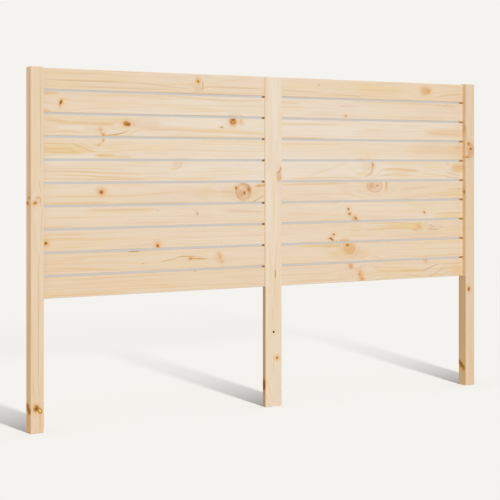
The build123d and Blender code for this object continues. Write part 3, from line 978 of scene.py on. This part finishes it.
def zinc_steel():
    """Yellow zinc on steel, slightly uneven."""
    finish = paint("zinc_steel")
    cloud = finish.noise(finish.node("TexCoord", output="Object"), (900.0, 900.0, 900.0), 3, 3.0)
    colour = finish.blend(finish.smooth(cloud, 0.35, 0.65), ZINC_BRIGHT, ZINC_DULL)
    normal = finish.bump(cloud, 0.2, 0.0001)
    return finish.coat(colour, Metallic=1.0, Roughness=0.28 + cloud * 0.2, Normal=normal)


def beech():
    """Turned beech with short dark flecks along the peg."""
    finish = paint("beech")
    place = finish.node("TexCoord", output="Object")
    flecks = finish.noise(place, (260.0, 1500.0, 1500.0), 5)
    band = finish.noise(place, (20.0, 300.0, 300.0), 6)
    colour = finish.blend(finish.smooth(band, 0.3, 0.7), BEECH_DARK, BEECH_LIGHT)
    colour = finish.blend(finish.smooth(flecks, 0.60, 0.72) * 0.6, colour, BEECH_FLECK)
    return finish.coat(colour, Roughness=0.50 + flecks * 0.15, Normal=finish.bump(band, 0.25, 0.0002))


def seen_rays(finish):
    """1 for rays that show the background: the camera's, and those of gloss and glass."""
    kinds = ("Is Camera Ray", "Is Glossy Ray", "Is Transmission Ray")
    return finish.largest([finish.node("LightPath", output=kind) for kind in kinds])


def studio_glow():
    """An even glow from all sides, seen as the plain backdrop."""
    world = bpy.data.worlds.new("studio_glow")
    bpy.context.scene.world = world
    finish = Finish(world)
    glow = finish.node("Background", {}, {"Color": (*WHITE, 1.0), "Strength": GLOW})
    backdrop = finish.node("Background", {}, {"Color": (*BACKDROP, 1.0)})
    mixed = finish.node("MixShader", {}, {0: seen_rays(finish), 1: glow, 2: backdrop})
    finish.show(mixed, "OutputWorld")


def flat_sheet(name, corners):
    """A four-cornered sheet that belongs to the studio."""
    mesh = bpy.data.meshes.new(name)
    mesh.from_pydata(corners, [], [(0, 1, 2, 3)])
    sheet = bpy.data.objects.new(name, mesh)
    bpy.context.scene.collection.objects.link(sheet)
    return sheet


def studio_floor():
    """A pale floor that shows the posts' shadows and fades into the backdrop behind them."""
    reach = FLOOR_REACH
    corners = [(-reach, -reach, 0), (reach, -reach, 0), (reach, reach, 0), (-reach, reach, 0)]
    floor = flat_sheet("studio_floor", corners)
    finish = paint("studio_floor_paint")
    x, y, _ = finish.parts(finish.node("TexCoord", output="Object"))
    lamp_x, lamp_y, lamp_z = LOW_LAMP_PLACE
    slant = math.hypot(lamp_x, lamp_y, lamp_z) / finish.length(finish.vector(x - lamp_x, y - lamp_y, lamp_z))
    behind = finish.largest([y, finish.length(finish.vector(x, y)) - SHADOW_ROUND])
    near = finish.math("EXPONENT", behind * (-1.0 / SHADOW_FADE_LENGTH)) * (1.0 - SHADOW_TAIL)
    keep = near + finish.smooth(behind, *SHADOW_TAIL_END, SHADOW_TAIL)
    keep = keep * finish.smooth(y, *SHADOW_FRONT)
    glow = 1.0 - keep * ((1.0 - LOW_SHADOW_DEPTH) + slant * LOW_SHADOW_DEPTH)
    shadowed = finish.node("BsdfDiffuse", {}, {"Color": finish.tinted(keep * FLOOR_SHARE, BACKDROP)})
    fading = finish.node("Emission", {}, {"Color": finish.tinted(glow, BACKDROP)})
    seen = finish.node("AddShader", {}, {0: shadowed, 1: fading})
    ambient = finish.node("Emission", {}, {"Color": (*WHITE, 1.0), "Strength": GLOW})
    give(floor, finish.show(finish.node("MixShader", {}, {0: seen_rays(finish), 1: ambient, 2: seen})))
    return floor


def gap_shade_card():
    """A grey card close behind the slats that glows for the camera alone, from the front: painted shade,
    shown through the gaps.
    """
    low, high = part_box("slat_10")
    bottom = low.z + GAP_CARD_INSET
    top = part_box("slat_01")[1].z - GAP_CARD_INSET
    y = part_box("rear_batten")[1].y - GAP_CARD_DEPTH
    corners = [(low.x, y, bottom), (high.x, y, bottom), (high.x, y, top), (low.x, y, top)]
    card = flat_sheet("gap_shade_card", corners)
    finish = paint("gap_shade_grey")
    back = finish.node("NewGeometry", output="Backfacing")
    seen = finish.node("LightPath", output="Is Camera Ray") * (1.0 - back)
    clear = finish.node("BsdfTransparent")
    grey = finish.node("Emission", {}, {"Color": (*GAP_SHADE_GREY, 1.0)})
    give(card, finish.show(finish.node("MixShader", {}, {0: seen, 1: clear, 2: grey})))


def shadow_flags():
    """Flags beside the legs that widen their shadows on the floor, and that nothing else shows."""
    finish = paint("flag_black")
    black = finish.show(finish.node("BsdfDiffuse", {}, {"Color": (0.0, 0.0, 0.0, 1.0)}))
    for post, start in SHADOW_START.items():
        low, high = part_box(post)
        near, far = high.x, low.x + SHADOW_WIDTH
        corners = [(near, 0, 0), (far, 0, start), (far, 0, PANEL_FOOT), (near, 0, PANEL_FOOT)]
        flag = flat_sheet(post + "_flag", corners)
        give(flag, black)
        for ray in ("camera", "diffuse", "glossy", "transmission", "volume_scatter"):
            setattr(flag, "visible_" + ray, False)


def hang_lamp(name, data, objects):
    """Hang a lamp that lights only some objects."""
    lamp = bpy.data.objects.new(name, data)
    bpy.context.scene.collection.objects.link(lamp)
    lit = bpy.data.collections.new("lit_by_" + name)
    for item in objects:
        lit.objects.link(item)
    lamp.light_linking.receiver_collection = lit
    return lamp


def front_lamp():
    """A soft front lamp for the headboard."""
    data = bpy.data.lights.new("front_lamp", "SUN")
    facing = math.cos(FRONT_LAMP_HEIGHT) * math.cos(FRONT_LAMP_TURN)
    data.energy = FRONT_LAMP_SHARE * math.pi / facing
    data.angle = FRONT_LAMP_SPREAD
    lamp = hang_lamp("front_lamp", data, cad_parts.values())
    lamp.rotation_euler = (math.radians(90) - FRONT_LAMP_HEIGHT, 0, FRONT_LAMP_TURN)


def low_lamp(floor):
    """A low lamp for the headboard's shadows on the floor, as strong far off as near."""
    data = bpy.data.lights.new("low_lamp", "POINT")
    slope = LOW_LAMP_PLACE[2] / math.hypot(*LOW_LAMP_PLACE)
    data.energy = 4.0 * math.pi**2 * LOW_SHADOW_DEPTH / (FLOOR_SHARE * slope)
    data.shadow_soft_size = LOW_LAMP_RADIUS
    finish = Finish(data)
    even = finish.node("LightFalloff", {}, {"Strength": 1.0}, "Constant")
    finish.show(finish.node("Emission", {}, {"Strength": even}), "OutputLight")
    lamp = hang_lamp("low_lamp", data, [floor])
    lamp.location = LOW_LAMP_PLACE


def photo_camera():
    data = bpy.data.cameras.new("photo_camera")
    data.lens = CAMERA_LENS
    data.sensor_width = CAMERA_SENSOR
    data.shift_y = CAMERA_SHIFT
    camera = bpy.data.objects.new("photo_camera", data)
    camera.location = CAMERA_PLACE
    camera.rotation_euler = (math.radians(90), 0, -CAMERA_BEARING)
    bpy.context.scene.collection.objects.link(camera)
    bpy.context.scene.camera = camera


dress_wood()
give(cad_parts["batten_screws"], zinc_steel())
for name in ("left_dowels", "right_dowels"):
    give(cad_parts[name], beech())
studio_glow()
floor = studio_floor()
gap_shade_card()
shadow_flags()
front_lamp()
low_lamp(floor)
photo_camera()
bpy.context.scene.view_settings.view_transform = "Standard"
